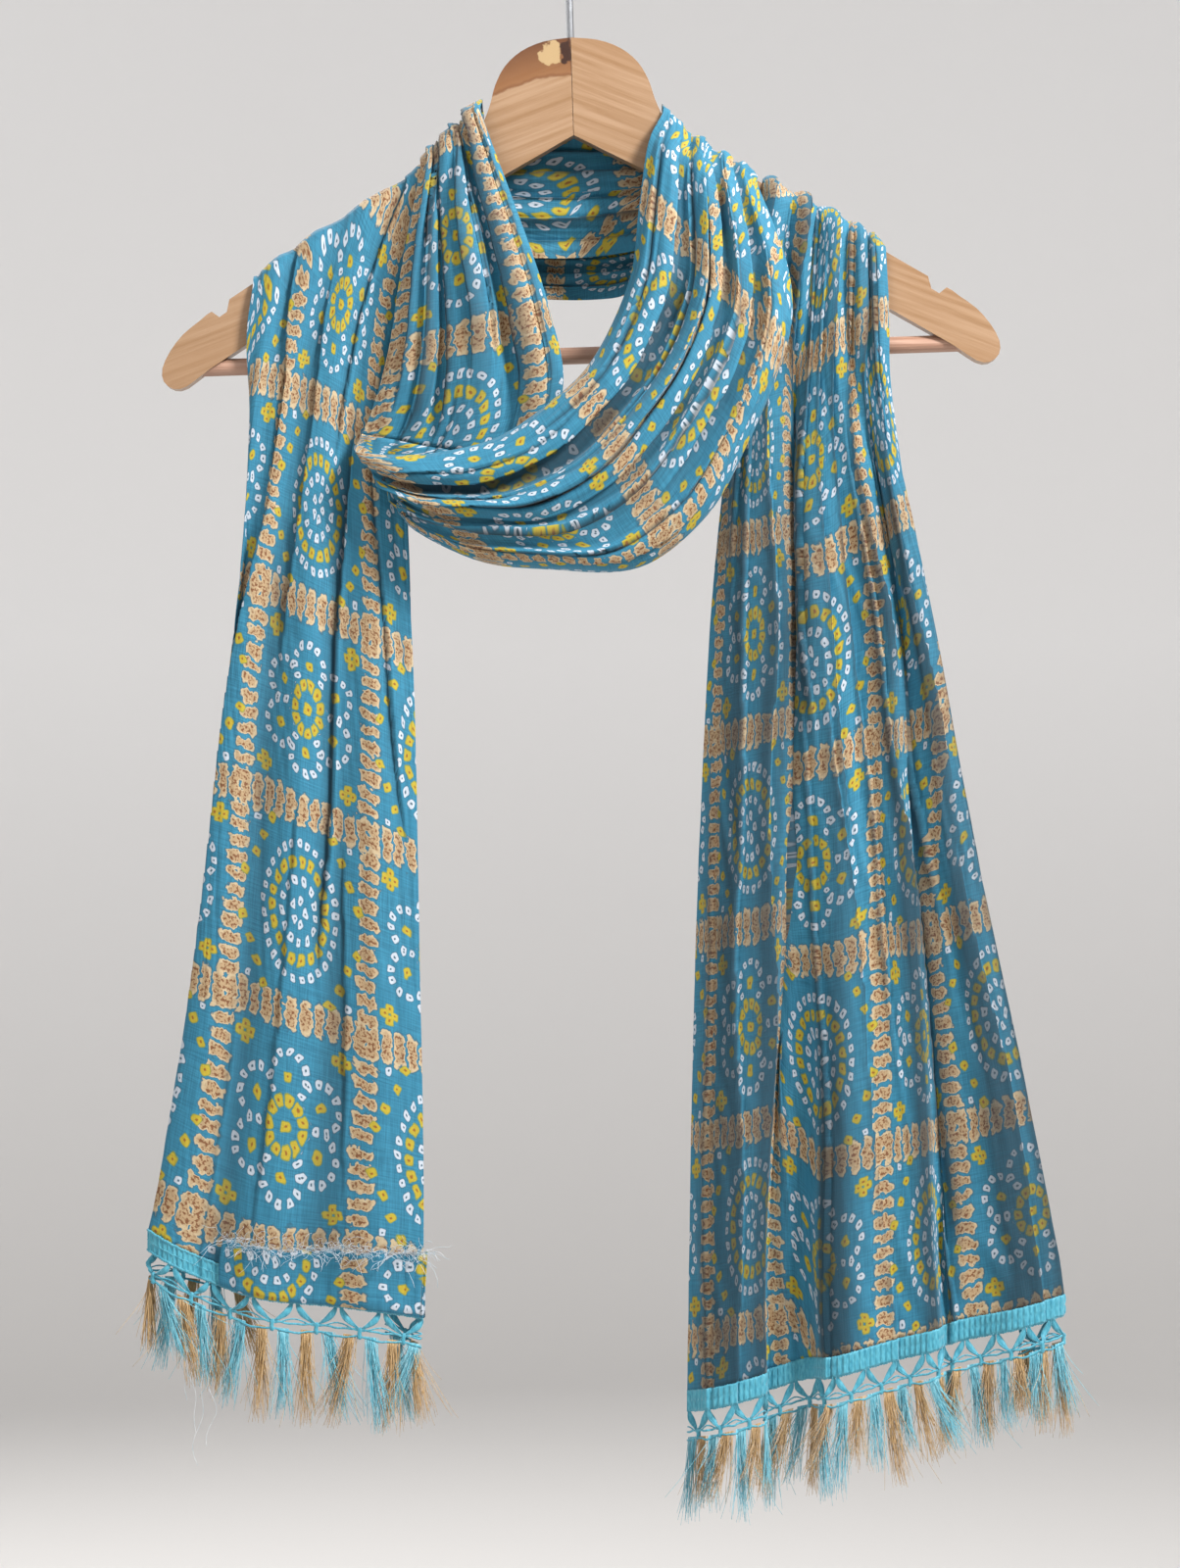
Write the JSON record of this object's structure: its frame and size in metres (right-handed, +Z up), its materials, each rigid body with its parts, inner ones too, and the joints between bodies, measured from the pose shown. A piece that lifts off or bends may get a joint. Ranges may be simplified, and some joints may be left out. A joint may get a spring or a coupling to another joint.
{
  "type": "dupatta stole wound round a wooden clothes hanger",
  "caption": "Long printed stole wound once round the neck of a wooden hanger, two pleated tails with crochet edging and fringe hanging from its arms.",
  "frame": {"origin": "the point inside the hook that rests on a rail", "axes": "+Z up, +X to the right as seen from the front, the viewer at -Y"},
  "size_m": [0.4834, 0.0782, 0.8672],
  "materials": {
    "printed_cloth": "matt crinkled cotton with a soft sheen, turquoise with white, yellow and straw print",
    "crochet": "turquoise crochet yarn",
    "fringe_thread": "turquoise and straw-coloured rayon thread",
    "wood": "lightly varnished beech",
    "dowel": "smooth turned dowel",
    "hook_steel": "plated wire"
  },
  "bodies": {
    "root": {"tail_left": "printed_cloth", "tail_right": "printed_cloth", "loop_front": "printed_cloth", "loop_left": "printed_cloth", "neck_band_upper": "printed_cloth", "neck_band_lower": "printed_cloth", "lace_left": "crochet", "lace_right": "crochet", "fringe_left": "fringe_thread", "fringe_right": "fringe_thread", "hanger_wood_left": "wood", "hanger_wood_right": "wood", "hanger_bar": "dowel", "hanger_hook": "hook_steel"}
  },
  "joints": []
}
